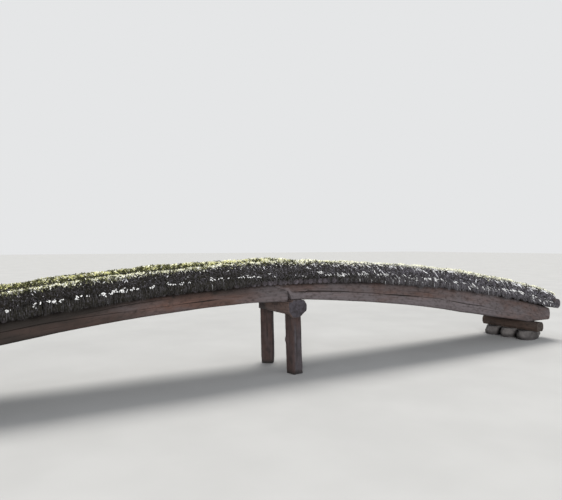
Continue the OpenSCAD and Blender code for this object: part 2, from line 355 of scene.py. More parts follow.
def rgb(*levels):
    """A colour written in 0 to 255 as it shows on a screen, as the linear values that a shader takes."""
    linear = [v / 255 / 12.92 if v <= 10 else ((v / 255 + 0.055) / 1.055) ** 2.4 for v in levels]
    return (*linear, 1.0)


class Shader:
    """Short calls that add nodes to one material or world."""

    def __init__(self, owner):
        self.owner = owner
        owner.use_nodes = True
        self.tree = owner.node_tree

    def fill(self, node, inputs):
        """Links a socket or sets a constant on each of some inputs of a node."""
        for key, value in inputs.items():
            if isinstance(value, bpy.types.NodeSocket):
                self.tree.links.new(value, node.inputs[key])
            else:
                node.inputs[key].default_value = value

    def node(self, kind, output, inputs, **settings):
        """Adds a node and returns one of its outputs."""
        node = self.tree.nodes.new(kind)
        for key, setting in settings.items():
            setattr(node, key, setting)
        self.fill(node, inputs)
        return node.outputs[output]

    def attribute(self, name):
        return self.node("ShaderNodeAttribute", "Vector", {}, attribute_name=name)

    def position(self):
        return self.node("ShaderNodeTexCoord", "Object", {})

    def parts(self, vector):
        return self.node("ShaderNodeSeparateXYZ", 0, {0: vector}).node.outputs

    def stretch(self, vector, scale, shift=(0, 0, 0)):
        return self.node("ShaderNodeMapping", "Vector",
                         {"Vector": vector, "Scale": scale, "Location": shift})

    def noise(self, vector, scale=1.0, detail=3.0, rough=0.55, warp=0.0):
        return self.node("ShaderNodeTexNoise", "Fac",
                         {"Vector": vector, "Scale": scale, "Detail": detail, "Roughness": rough,
                          "Distortion": warp})

    def cells(self, vector, scale):
        return self.node("ShaderNodeTexVoronoi", "Distance", {"Vector": vector, "Scale": scale})

    def math(self, kind, a, b=0.0, clamp=False):
        return self.node("ShaderNodeMath", 0, {0: a, 1: b}, operation=kind, use_clamp=clamp)

    def plus(self, a, b):
        return self.math("ADD", a, b)

    def times(self, a, b):
        return self.math("MULTIPLY", a, b)

    def swayed(self, share, pattern, amount):
        """A share from 0 to 1 that a pattern pushes up and down."""
        return self.math("ADD", share, self.times(self.math("SUBTRACT", pattern, 0.5), amount), True)

    def ramp(self, value, low, high, to_low=0.0, to_high=1.0):
        inputs = {"Value": value, "From Min": low, "From Max": high, "To Min": to_low, "To Max": to_high}
        return self.node("ShaderNodeMapRange", "Result", inputs, interpolation_type="SMOOTHSTEP")

    def mix(self, share, a, b):
        return self.node("ShaderNodeMix", 2, {"Factor": share, 6: a, 7: b}, data_type="RGBA")

    def stained(self, color, pattern, low, high, share, tint):
        """A colour that has a share of a tint where a pattern is high."""
        return self.mix(self.ramp(pattern, low, high, 0.0, share), color, tint)

    def bump(self, height, distance, strength=1.0):
        return self.node("ShaderNodeBump", "Normal",
                         {"Height": height, "Distance": distance, "Strength": strength})

    def done(self, color, roughness, specular, **more):
        """Fills the surface's inputs and returns the material."""
        self.fill(self.tree.nodes["Principled BSDF"],
                  {"Base Color": color, "Roughness": roughness, "Specular IOR Level": specular, **more})
        return self.owner


def new_surface(name):
    return Shader(bpy.data.materials.new(name))


def timber(name, warm, grey, dark, damp_and_shade, end, grain_scale=1.0):
    """Weathered hewn wood. The finish is (share of cut end, share of dampness, grime and painted
    shade, share of the warm colour against the grey one)."""
    s = new_surface(name)
    grain = s.attribute("grain")
    cut, dirt_and_shade, tone = s.parts(s.attribute("finish"))

    def pattern(along, across, shift, detail, rough, warp=0.0):
        scale = [grain_scale * share for share in (along, across, across)]
        return s.noise(s.stretch(grain, scale, shift), 1.0, detail, rough, warp)

    broad = pattern(1.7, 6, (0, 0, 0), 4, 0.6, 0.6)
    streak = pattern(2.6, 75, (3, 1, 5), 5, 0.65, 0.3)
    fibre = pattern(14, 420, (7, 2, 9), 2, 0.5)
    mottle = pattern(9, 16, (1, 8, 4), 4, 0.6)

    _, across, up = s.parts(grain)
    heart = s.math("SQRT", s.plus(s.times(across, across), s.times(up, up)))
    drift = s.noise(s.stretch(grain, (0.8, 9, 9)))
    ring_place = s.plus(s.times(heart, 620.0), s.times(drift, 26.0))
    rings = s.times(s.plus(s.math("SINE", ring_place), 1.0), 0.5)

    color = s.mix(s.swayed(tone, broad, 1.7), grey, warm)
    color = s.stained(color, streak, 0.42, 0.74, 0.5, dark)
    color = s.stained(color, fibre, 0.55, 0.8, 0.25, dark)
    color = s.stained(color, mottle, 0.45, 0.72, 0.6, dark)
    end_color = s.stained(s.mix(s.times(rings, 0.35), end, dark), mottle, 0.4, 0.65, 0.65, dark)
    color = s.mix(dirt_and_shade, s.mix(cut, color, end_color), damp_and_shade)

    height = s.plus(s.times(streak, 0.7), s.times(fibre, 0.3))
    height = s.math("SUBTRACT", height, s.times(s.times(rings, cut), 0.4))
    return s.done(color, s.ramp(dirt_and_shade, 0.0, 1.0, 0.9, 0.75), 0.2, Normal=s.bump(height, 0.0035, 0.9))


def earthy(name, light, dark, pebble, scale, bump_depth, rough=0.95):
    """Soil, gravel or rough stone: two tones with scattered paler grains. The second share of the
    finish darkens it, with dampness at a rock's foot and towards the path's edges."""
    s = new_surface(name)
    place = s.position()
    _, dirt_and_shade, _ = s.parts(s.attribute("finish"))
    broad = s.noise(place, 3.0 * scale, 5, 0.6)
    fine = s.noise(place, 34.0 * scale, 4, 0.65)
    grit = s.cells(place, 90.0 * scale)
    color = s.stained(s.mix(s.ramp(broad, 0.35, 0.65), dark, light), fine, 0.5, 0.75, 0.55, dark)
    color = s.mix(s.ramp(grit, 0.0, 0.32, 0.55, 0.0), color, pebble)
    height = s.plus(fine, s.times(grit, 0.5))
    return s.done(s.mix(dirt_and_shade, color, dark), rough, 0.2, Normal=s.bump(height, bump_depth))


def mossy(name, soil, moss, damp_and_shade):
    """The sods themselves. The finish is (share of moss with painted light on the rim, share of
    dampness with painted shade at the sods' foot, unused).
    """
    s = new_surface(name)
    moss_and_light_share, dark_foot, _ = s.parts(s.attribute("finish"))
    broad = s.noise(s.position(), 9.0, 4, 0.6)
    fine = s.noise(s.position(), 60.0, 4, 0.65)
    color = s.mix(s.swayed(moss_and_light_share, broad, 0.8), soil, moss)
    color = s.stained(color, fine, 0.45, 0.7, 0.7, damp_and_shade)
    return s.done(s.mix(dark_foot, color, damp_and_shade), 0.95, 0.15, Normal=s.bump(fine, 0.012))


def leafy(name, side_tones, side_pale, rim_tones, rim_highlight):
    """Short leaves. The finish is (share of pale leaf, share of rim against side, tone). The rim is
    painted lit: its pale leaves are painted highlights and its darkest tones painted shade between
    the clumps. The side is painted in shade, lighter towards the right, and its pale leaves are
    bleached, on the specks also painted sunlit.
    """
    s = new_surface(name)
    pale, rim, tone = s.parts(s.attribute("finish"))
    tone = s.swayed(tone, s.noise(s.stretch(s.attribute("grain"), (40, 40, 40)), 1.0, 2), 0.5)
    green = s.mix(rim, s.mix(tone, *side_tones), s.mix(tone, *rim_tones))
    return s.done(s.mix(pale, green, s.mix(rim, side_pale, rim_highlight)), 0.85, 0.15)


# The fourth colour of each wood is the one that dampness, grime and painted shade darken it to.
girder_wood = timber("girder_wood_material", rgb(105, 81, 73), rgb(107, 100, 102), rgb(52, 45, 43),
                     rgb(45, 40, 37), rgb(94, 85, 82))
post_wood = timber("post_wood_material", rgb(71, 56, 53), rgb(79, 75, 79), rgb(39, 35, 35),
                   rgb(36, 35, 33), rgb(90, 80, 77))
cap_wood = timber("cap_wood_material", rgb(102, 84, 77), rgb(80, 76, 80), rgb(41, 37, 38),
                  rgb(30, 27, 28), rgb(76, 72, 78))
floor_wood = timber("floor_wood_material", rgb(84, 74, 70), rgb(84, 79, 84), rgb(44, 40, 41),
                    rgb(34, 31, 31), rgb(98, 92, 98), 1.5)
sill_wood = timber("sill_wood_material", rgb(98, 80, 70), rgb(92, 86, 85), rgb(49, 42, 39),
                   rgb(36, 32, 30), rgb(94, 85, 80))
# The sods' moss colour also paints the rim's light, and their last colour paints dampness and shade at
# their foot.
sod_moss = mossy("sod_material", rgb(42, 39, 36), rgb(84, 86, 50), rgb(24, 22, 20))
path_earth = earthy("path_material", rgb(164, 150, 127), rgb(132, 118, 98), rgb(178, 170, 156), 1.0,
                    0.006)
pebble_stone = earthy("pebble_material", rgb(168, 160, 146), rgb(110, 104, 96), rgb(196, 190, 178),
                      2.0, 0.002)
bank_rock = earthy("rock_material", rgb(112, 108, 106), rgb(60, 57, 57), rgb(142, 138, 132), 0.6,
                   0.010, 0.9)
# The side tones carry painted shade, the rim tones painted light with painted shade at their dark end,
# and the rim's pale colour painted highlights.
grass_leaf = leafy("leaf_material", (rgb(39, 37, 31), rgb(149, 145, 156)), rgb(250, 250, 252),
                   (rgb(34, 37, 16), rgb(234, 233, 170)), rgb(255, 254, 240))


# Girders

ARRIS_R = 0.062

# Drying checks of a girder's outer face by its end, and of its inner face and underside. Each has
# its line, as shares of the face by place along the bridge, half its width, its depth, and the
# places where it starts and stops.
CHECKS = {
    -1: (({-8.1: 0.17, -3.0: 0.15, 0: 0.16}, 0.0014, 0.006, (-7.5, -4.6)),
         ({-8.1: 0.55, -4.44: 0.60, -3.77: 0.50, -3.17: 0.39, -2.63: 0.355, -1.88: 0.35,
           -1.06: 0.44, -0.3: 0.5}, 0.0060, 0.020, (-7.9, -1.5)),
         ({-8.1: 0.76, -3.75: 0.78, -3.45: 0.85, -3.1: 0.90, -2.4: 0.90, -1.6: 0.76, 0: 0.74},
          0.0050, 0.016, (-3.9, -2.4))),
    1: (({-0.5: 0.18, 3.0: 0.16, 8.1: 0.20}, 0.0016, 0.008, (4.2, 7.8)),
        ({-0.5: 0.60, -0.2: 0.585, 0.21: 0.53, 1.03: 0.50, 2.31: 0.41, 2.9: 0.415, 3.85: 0.43,
          4.76: 0.34, 8.1: 0.36}, 0.0090, 0.028, (-0.2, 5.6)),
        ({-0.5: 0.80, 2.0: 0.74, 5.0: 0.70, 8.1: 0.74}, 0.0014, 0.006, (2.4, 7.6))),
    "inner": (({-8.1: 0.55, -3: 0.62, 2: 0.5, 8.1: 0.58}, 0.0040, 0.018, (-7.4, 7.4)),),
    "under": (({-8.1: 0.45, -2: 0.52, 3: 0.42, 8.1: 0.5}, 0.0030, 0.012, (-6.8, 6.8)),),
}
DEEPEST_CHECK = 0.014

# Knots of each girder's outer face: place along the bridge, height and size
KNOTS = {
    (-1, -1): ((-0.94, 1.479, 0.040), (-1.69, 1.650, 0.050), (-2.44, 1.617, 0.038),
               (-3.09, 1.410, 0.032), (-5.3, 1.19, 0.045)),
    (-1, 1): ((1.9, 1.60, 0.030), (4.1, 1.18, 0.045), (5.6, 1.05, 0.040)),
    (1, -1): ((-2.9, 1.52, 0.05), (-5.2, 1.12, 0.045)),
    (1, 1): ((1.2, 1.45, 0.045), (3.6, 1.35, 0.05)),
}


def cracked_face(height, cracks, between):
    """Fractions up a face for every station, with five points across each drying crack, and how
    far each point is pushed in. A crack is (centre fraction, half width, depth) by station."""
    flush = np.zeros_like(height)
    at, push = [flush], [flush]

    def whole_to(stop):
        start = at[-1]
        at.extend([start + (stop - start) * k / between for k in range(1, between + 1)])
        push.extend([flush] * between)

    for centre, half, deep in cracks:
        half = half / height
        whole_to(centre - 1.7 * half)
        at += [centre - 0.7 * half, centre, centre + 0.7 * half, centre + 1.7 * half]
        push += [deep * 0.6, deep, deep * 0.6, flush]
    whole_to(1)
    return np.stack(at, 1), np.stack(push, 1)


def check_line(x, check, depth, seed):
    """Centre, half width and depth of a drying check, which wavers, opens and closes on its way,
    and is narrow where the log is thin."""
    path, half_width, deep, (first, last) = check
    middle = graded(x, path) + 0.010 * wander(x, seed, 1.6) + 0.005 * wander(x, seed + 1, 7.0)
    opening = 0.35 + 0.65 * blend(wander(x, seed + 2, 1.1), -0.3, 0.3)
    opening = opening * blend(x, first, first + 0.3) * (1 - blend(x, last - 0.3, last))
    return middle, np.minimum(0.0008 + half_width * opening, 0.024 * depth), 0.0004 + deep * opening


def girder_rings(x, top, bottom, sawn, end, seed):
    """Rings of a hewn girder, anticlockwise seen from its left end, with their cracks cut in.
    sawn is 1 where the upper or lower corners are sawn and not rounded."""
    depth = top - bottom
    width = np.interp(np.abs(x), [0, GIRDER_END], GIRDER_W)
    half = width / 2
    top_r, low_r = (np.minimum(ARRIS_R, depth * 0.3) * (1 - 0.85 * share) for share in sawn)
    flat = depth - top_r - low_r
    cols = []

    def put(y, z):
        cols.append(vectors(x, y, z))

    def cracked(key, height, first_seed, between):
        lines = [check_line(x, check, depth, first_seed + 10 * k) for k, check in enumerate(CHECKS[key])]
        return cracked_face(height, lines, between)

    def corner(y_middle, z_middle, r, start):
        for angle in np.radians(start + np.arange(1, 4) * 22.5):
            put(y_middle + r * np.cos(angle), z_middle + r * np.sin(angle))

    def side_face(at, push, sign):
        for f, inward in list(zip(at.T, push.T))[::sign]:
            put(sign * (half + width * 0.03 * np.sin(np.pi * f) - inward), bottom + low_r + f * flat)

    at, push = cracked("under", width, seed + 50, 5)
    for j in range(1, at.shape[1] - 1):
        put(-half + low_r + at[:, j] * (width - 2 * low_r), bottom + push[:, j])
    corner(half - low_r, bottom + low_r, low_r, -90)
    outer_start = len(cols)
    at, push = cracked(end, flat, seed, 4)
    side_face(at, push, 1)
    corner(half - top_r, top - top_r, top_r, 0)
    for k in range(1, 8):
        put(half - top_r - (width - 2 * top_r) * k / 8, top)
    corner(-half + top_r, top - top_r, top_r, 90)
    side_face(*cracked("inner", flat, seed + 40, 8), -1)
    corner(-half + low_r, bottom + low_r, low_r, 180)
    cracks = np.zeros((len(x), len(cols)))
    cracks[:, outer_start:outer_start + push.shape[1]] = push / DEEPEST_CHECK
    return np.stack(cols, 1), np.clip(cracks, 0, 1)


def girder_form(end):
    """Places along a girder, its top and its bottom there, and where its corners are sawn. The two
    girders of a side meet in a sloping scarf with a nib at its top and a blunt toe."""
    high = seat_height(SCARF_TOP_X) - SCARF_NIB
    toe = SEAT[-1] + TOE_H
    scarf = np.arange(SCARF_TOP_X, JOINT_X, GIRDER_STEP)
    if end < 0:
        x = np.concatenate([np.arange(-GIRDER_END, SCARF_TOP_X - 0.01, GIRDER_STEP), scarf, [JOINT_X]])
    else:
        x = np.concatenate([scarf, np.linspace(GAP_TOP_X, SHOULDER_X, 8), [CAP_RIGHT + 0.001],
                            np.arange(CAP_RIGHT + GIRDER_STEP, GIRDER_END, GIRDER_STEP), [GIRDER_END]])
    slope = high + (toe - high) * (np.minimum(x, JOINT_X) - SCARF_TOP_X) / SCARF_LEN
    top = seat_height(x)
    bottom = top - graded(end * (x - JOINT_X), DEPTHS[end])
    if end < 0:
        bottom = np.select([x < -BANK_SEAT_X, x <= JOINT_X - 0.1], [BANK_SEAT[end], bottom], SEAT[end])
        top = np.where(x >= SCARF_TOP_X, slope, top)
        return x, top, bottom, (blend(x, SCARF_TOP_X - 0.05, SCARF_TOP_X),
                                blend(x, JOINT_X - 0.15, JOINT_X - 0.1))
    shoulder = np.interp(x, [GAP_TOP_X, SHOULDER_X], [toe + 0.001, SEAT[end]])
    bottom = np.select([x <= GAP_TOP_X, x <= SHOULDER_X, x <= CAP_RIGHT + 0.002, x <= BANK_SEAT_X],
                       [slope + 0.001, shoulder, SEAT[end], bottom], BANK_SEAT[end])
    return x, top, bottom, (0 * x, 1 - blend(x, CAP_RIGHT, CAP_RIGHT + 0.1))


def girder_shade(end, along, share):
    """Share of darkening on a girder, mostly painted shade, share of the warm colour, and how
    strongly random patches darken it. The share up a face is 0 at the underside and 1 at the top."""
    if end < 0:
        # Left girder: painted shade over the whole girder, heavy towards the left bank, in the upper
        # half under the floor's overhang, and in a band near -1.8 m.
        damp_and_shade = (0.24 + 0.70 * blend(-along, 2.4, 4.6) + 0.16 * bell(along + 1.8, 0.7)
                + 0.32 * blend(share, 0.45, 0.8) * blend(-along, 0.4, 1.5))
        # Warm towards the left bank and grey near the joint: partly the wood's colour and partly painted
        # warm reflected light.
        return damp_and_shade, 0.80 - 0.75 * blend(along, -1.6, -0.5), 0.26
    # Right girder: a little darkening everywhere, more towards the right bank, and painted shade on the
    # upper half, weaker beyond 4 m; the upper half is also warmer.
    upper = blend(share, 0.40, 0.50)
    damp_and_shade = 0.08 + 0.20 * blend(along, 5.6, 7.8) + 0.20 * upper * (1 - 0.5 * blend(along, 3.4, 4.8))
    return damp_and_shade, 0.26 - 0.26 * (1 - upper) * (1 - blend(along, 4.6, 6.4)), 0.16


def girder(side, end):
    """One of the four girders, its outer face away from the bridge's middle line."""
    seed = 100 * (1 + list(KNOTS).index((side, end)))
    x, top, bottom, sawn = girder_form(end)
    rings, cracks = girder_rings(x, top, bottom, sawn, end, seed)

    seated = blend(rings[..., 2], top[:, None] - 0.03, top[:, None] - 0.002)
    relief = hewn(rings, x, seed) * (1 - seated)
    knots, swirl = np.zeros((2, *relief.shape))
    outer = rings[..., 1] > 0
    for knot_x, knot_z, size in KNOTS[side, end]:
        gap = np.hypot((rings[..., 0] - knot_x) / 1.6, rings[..., 2] - knot_z) / size
        relief += outer * (bell(gap) - 0.6 * bell(gap, 0.35)) * size * 0.14
        knots = np.maximum(knots, outer * bell(gap, 0.5))
        swirl += outer * bell(gap, 2) * np.sign(rings[..., 2] - knot_z) * 0.02
    rings, cut = close_ends(pushed(rings, relief))

    cracks, knots, swirl, deep = (to_ends(values, cut)
                                  for values in (cracks, knots, swirl, (top - bottom)[:, None]))
    along = rings[..., 0]
    over_arc = rings[..., 2] - seat_height(along)
    share = np.clip((over_arc + deep) / deep, 0, 1)
    grain = vectors(along, rings[..., 1] + 0.03, over_arc + 0.17 + swirl)
    damp_and_shade, tone, patchy = girder_shade(end, along, share)
    # Painted shade at the top of each face under the floor logs and in the drying checks, added to the
    # dark of the knots and random patches.
    dirt_and_shade = np.clip(damp_and_shade + 0.2 * blend(share, 0.80, 1.0) + cracks * 0.85 + knots * 0.7
                   + patchy * fbm(rings * (1.3, 4, 4), 3, seed + 61), 0, 1)
    tone = np.clip(tone + 0.30 * fbm(rings * (0.9, 6, 6), 3, seed + 71), 0, 1)

    points = rings * (1, side, 1) + (0, side * GIRDER_GAP / 2, 0)
    if side < 0:
        points, grain, dirt_and_shade, tone = (values[:, ::-1] for values in (points, grain, dirt_and_shade, tone))
    name = f"{SIDES[side]}_{ENDS[end]}_girder"
    Solid().add_tube(points, grain, cut, dirt_and_shade, tone).piece(
        f"hewn_{name}", girder_wood, "girder_wood", [name])


# Logs and posts

# How much of the log ends the hanging grass covers, by place along the bridge. It also sets the
# painted shade on the log ends.
VEIL = {-8: 1.0, -1.6: 0.9, -0.9: 0.10, 0.5: 0.10, 1.1: 0.6, 2.2: 0.9, 8: 1.0}


def log_rings(radius, sides, y, seed, crook, rough):
    """A round log along Y that is a little crooked and uneven, as rings."""
    angle = np.linspace(0, 2 * np.pi, sides, endpoint=False)
    spin = vectors(np.cos(angle) * 1.4, np.sin(angle) * 1.4, y[:, None] * 2.2)
    r = radius * (1 - rough + rough * noise(spin + seed * 1.3, seed)
                  + rough * 0.5 * noise(spin * 3, seed + 1))
    bend = crook * (0.4 + 0.6 * blend(np.abs(y), y[-1] - 0.3, y[-1]))
    x, z = (bend[:, None] * wander(y, seed + k, 1.2)[:, None] for k in (2, 3))
    return vectors(r * np.sin(angle) + x, y[:, None], r * np.cos(angle) + z)


def split_ends(rings, cut, splits, deep, width):
    """Opens radial drying splits in the cut ends of a log that lies along Y."""
    x, y, z = axes(rings - rings.mean(1, keepdims=True) * (1, 0, 1))
    angle = np.arctan2(x, z)
    for place, share in splits:
        gap = np.abs((angle - place + np.pi) % (2 * np.pi) - np.pi)
        rings[..., 1] -= np.sign(y) * cut * deep * share * np.clip(1 - gap / width, 0, 1)
    return rings


def floor_log(solid, index):
    """One round log of the floor at its place along the arch."""
    d = FLOOR_LOG_D + LOG_VARY_D * vary(index)
    length = FLOOR_W + LOG_VARY_LEN * vary(index + 90)
    places = np.array([-0.5, -0.497, -0.48, -0.42, -0.3, -0.15, 0, 0.15, 0.3, 0.42, 0.48, 0.497, 0.5])
    rings = log_rings(d / 2, 16, places * length, index, 0.004, 0.03)
    rings, cut = close_ends(rings, (0.1, 0.5, 0.86), 0.003)
    splits = [(math.pi * vary(index + 7), 1.0), (math.pi * vary(index + 31), 0.5)]
    rings = split_ends(rings, cut, splits, 0.012, 0.45)
    rings[..., 1] -= np.sign(rings[..., 1]) * 0.004 * (1 + noise(rings * 40, index)) * cut

    turn = (index - (FLOOR_LOGS - 1) / 2) * LOG_TURN
    x, y, z = axes(rings)
    level = z + ARCH_R + SEAT_OUT + d / 2
    points = vectors(x * math.cos(turn) + level * math.sin(turn),
                     y + LOG_VARY_LEN * vary(index + 50) / 2,
                     level * math.cos(turn) - x * math.sin(turn) + ARCH_Z)
    inside = 1 - blend(np.abs(y), FLOOR_W / 2 - 0.20, FLOOR_W / 2 - 0.04)
    # Darker where the log runs in under the turf, and painted shade on the log ends where the hanging
    # grass covers them.
    dirt_and_shade = np.clip(0.20 + 0.25 * inside + 0.65 * graded(points[..., 0].mean(), VEIL)
                   + 0.22 * vary(index + 13) + 0.2 * noise(points * 9, 5), 0, 1)
    solid.add_tube(points, vectors(y + index * 2.3, x, z), cut, dirt_and_shade, 0.45 + 0.45 * vary(index + 21))


def floor_bay(bay):
    solid = Solid()
    for index in range((bay - 1) * LOGS_IN_BAY, bay * LOGS_IN_BAY):
        floor_log(solid, index)
    solid.piece(f"round_logs_{bay}", floor_wood, "floor_wood", [f"floor_logs_{bay}"])


def end_log(end):
    """The thick log that closes the floor at one end."""
    y = np.concatenate([[-0.5, -0.495], np.linspace(-0.47, 0.47, 50), [0.495, 0.5]]) * END_LOG_LEN
    rings = log_rings(END_LOG_R, END_LOG_POINTS, y, 900 + end, 0.0, 0.02)
    rings, cut = close_ends(pushed(rings, hewn(rings, y, 905 + end, 0.0015)))
    rings = split_ends(rings, cut, [(0.6, 1), (2.5, 0.7), (-1.4, 0.8)], 0.02, 0.16)
    x, z = end_log_heart(end)
    points = rings + (x, 0, z)
    grain = vectors(rings[..., 1], rings[..., 0] + 0.02, rings[..., 2] + 0.01)
    dirt_and_shade = np.clip(0.3 + 0.3 * fbm(points * 3, 3, 17), 0, 1)
    Solid().add_tube(points, grain, cut, dirt_and_shade, 0.4).piece(f"{ENDS[end]}_closing_log", floor_wood,
                                                          "floor_wood", [f"{ENDS[end]}_end_log"])


def beam(outline, length, centre, seed, damp_and_shade, cuts=None):
    """Points, grain and finish of a hewn log along Y with a given section, as (x, z) points
    anticlockwise seen from the front. cuts are (edge, height) of a seat to the left of the edge,
    (place, height) of a level underside beyond the place, and (place, slope) of a corner hewn off
    the far left end."""
    section = worn_section(outline, BEAM_POINTS, 1)
    y = np.concatenate([[-0.5, -0.4965], np.linspace(-0.48, 0.48, 58), [0.4965, 0.5]]) * length
    if cuts:
        (edge, seat), (hook, under), (corner, slope) = cuts
        y = np.sort(np.concatenate([y, [hook, hook + 0.003]]))
    rings = vectors(section[:, 0], y[:, None], section[:, 1])[:, ::-1]
    rings = pushed(rings, hewn(rings, y, seed, 0.0035))
    worn = 0.035 * blend(np.abs(y), length / 2 - 0.05, length / 2)[:, None, None]
    uneven = 0.5 + 0.5 * noise(rings * 14, seed + 3)[..., None]
    middle = rings.mean(1, keepdims=True) * (1, 0, 1) + rings * (0, 1, 0)
    rings = rings + (middle - rings) * worn * uneven
    if cuts:
        left = section[:, 0].min() + slope * np.maximum(rings[..., 1] - corner, 0)
        x = np.maximum(rings[..., 0], left)
        z = np.where(x < edge, np.minimum(rings[..., 2], seat), rings[..., 2])
        z = np.where(y[:, None] > hook + 0.001, np.maximum(z, under), z)
        rings = vectors(x, rings[..., 1], z)
    rings, cut = close_ends(rings, (0.05, 0.2, 0.35, 0.5, 0.65, 0.8, 0.92), 0.005)
    rings = split_ends(rings, cut, [(0.4, 0.5), (2.5, 1), (-1.2, 0.7)], 0.014, 0.13)
    x, _, z = axes(rings - rings.mean((0, 1)))
    growth = 1 + np.sin(np.hypot(x, z) * 420) + 1.5 * noise(rings * 25, seed + 4)
    rings[..., 1] -= np.sign(rings[..., 1]) * cut * 0.002 * growth
    points = rings + centre
    dirt_and_shade = np.clip(damp_and_shade + 0.16 + 0.25 * fbm(points * 3.5, 3, seed + 5), 0, 1)
    # Painted shade on the cap's far part, under the bridge towards the far post.
    if cuts:
        dirt_and_shade = np.maximum(dirt_and_shade, 0.8 * blend(rings[..., 1], corner - 0.42, corner - 0.18))
    tone = np.clip(0.35 + 0.6 * blend(-rings[..., 0], 0.02, 0.14)
                   + 0.2 * noise(points * 2, seed + 6), 0, 1)
    return points, vectors(rings[..., 1], x, z), cut, dirt_and_shade, tone


def cap_log():
    w, foot = CAP_W / 2, CAP_BOTTOM - HOOK_DROP
    h = SEAT[1] - foot
    outline = [(-0.54 * w, 0), (0.21 * w, 0), (w, 0.37 * h), (w, 0.74 * h), (0.65 * w, h), (-w, h),
               (-w, 0.36 * h)]
    middle = (CAP_NEAR + CAP_FAR) / 2
    cuts = ((CAP_STEP_X - CAP_X, SEAT[-1] - foot), (CAP_NEAR + HOOK_T - middle, HOOK_DROP),
            (CAP_FAR - CAP_CHAMFER[1] - middle, CAP_CHAMFER[0] / CAP_CHAMFER[1]))
    hewn_log = beam(outline, CAP_FAR - CAP_NEAR, (CAP_X, middle, foot), 500, 0.0, cuts)
    Solid().add_tube(*hewn_log).piece("hewn_cap_log", cap_wood, "cap_wood", ["cap_log"])


def sill_log(end):
    w, h = SILL_W / 2, SILL_H
    outline = [(-0.7 * w, 0), (0.7 * w, 0), (w, 0.3 * h), (w, 0.7 * h), (0.7 * w, h), (-0.7 * w, h),
               (-w, 0.7 * h), (-w, 0.3 * h)]
    hewn_log = beam(outline, SILL_LEN, (end * SILL_X, 0, BANK_SEAT[end] - SILL_H), 520 + end, 0.25)
    Solid().add_tube(*hewn_log).piece(f"{ENDS[end]}_hewn_sill", sill_wood, "sill_wood",
                                      [f"{ENDS[end]}_sill_log"])


def post(side):
    """A hewn post with broad faces, worn arrises, cracks and a water-stained foot. Its left face, its
    cracks and its top under the cap carry painted shade.
    """
    w = POST_W[side] / 2
    shoulder = w - POST_W[side] * 0.11
    seed = 620 + 20 * side
    outline = [(w, -shoulder), (w, shoulder), (shoulder, w), (-shoulder, w), (-w, shoulder),
               (-w, -shoulder), (-shoulder, -w), (shoulder, -w)]
    section = worn_section(outline, POST_POINTS, 2)
    z = np.concatenate([[0, 0.003], np.linspace(0.015, CAP_BOTTOM + 0.004, 66)])
    rings = vectors(section[:, 0], section[:, 1], z[:, None])
    relief = hewn(rings, z, seed, 0.003, (0.13, 0.06))
    cracks = np.zeros_like(relief)
    for place, low, high, deep in ((0.11, 0.30, 1.05, 0.014), (0.38, 0.1, 0.8, 0.012),
                                   (0.62, 0.45, 1.1, 0.013), (0.83, 0.2, 0.95, 0.016)):
        at = (place + 0.012 * wander(z, seed + int(place * 100), 3.0))[:, None] * POST_POINTS
        half = POST_POINTS / 2
        gap = np.abs((np.arange(POST_POINTS) - at + half) % POST_POINTS - half)
        shut = blend(z, low, low + 0.15) * (1 - blend(z, high - 0.15, high))
        line = np.clip(1 - gap / 1.3, 0, 1) * shut[:, None]
        relief -= line * deep
        cracks = np.maximum(cracks, line)
    if side < 0:
        stub = bell(rings[..., 1] - 0.07, 0.04) * bell(rings[..., 2] - 0.66, 0.06)
        relief += 0.026 * stub * (rings[..., 0] < 0)
    eaten = 0.006 * (1 - blend(z, 0.02, 0.16))[:, None] * (1 + noise(rings * 12, seed + 2))
    rings, cut = close_ends(pushed(rings, relief - eaten))
    cracks = to_ends(cracks, cut, "constant")

    x, y, height = axes(rings)
    a = math.radians(POST_TURN[side])
    points = vectors(x * math.cos(a) - y * math.sin(a) + POST_LEAN[side] * (0.5 - height / CAP_BOTTOM),
                     x * math.sin(a) + y * math.cos(a) + side * POST_Y, height)
    wet_line = 0.05 + 0.02 * noise(points * (14, 14, 0), seed + 8)
    dark_foot = 0.7 * (1 - blend(height, wet_line - 0.03, wet_line + 0.06))
    # The left face is painted in shade, darker and browner; the cracks and the top under the cap are
    # also painted in shade.
    shaded_left_face = blend(-x, 0.06, 0.11)
    dirt_and_shade = np.clip(dark_foot + cracks * 0.8 + 0.22 * blend(height, 1.02, 1.15)
                   + 0.14 * fbm(points * (6, 6, 1.5), 3, seed + 3) + 0.15 * shaded_left_face, 0, 1)
    tone = np.clip(0.12 + 0.85 * shaded_left_face + 0.6 * blend(height, 0.75, 1.1)
                   + 0.15 * noise(points * (8, 8, 1), seed + 4), 0, 1)
    name = f"{SIDES[side]}_post"
    Solid().add_tube(points, vectors(height, x + 0.02, y - 0.015), cut, dirt_and_shade, tone).piece(
        f"hewn_{name}", post_wood, "post_wood", [name])


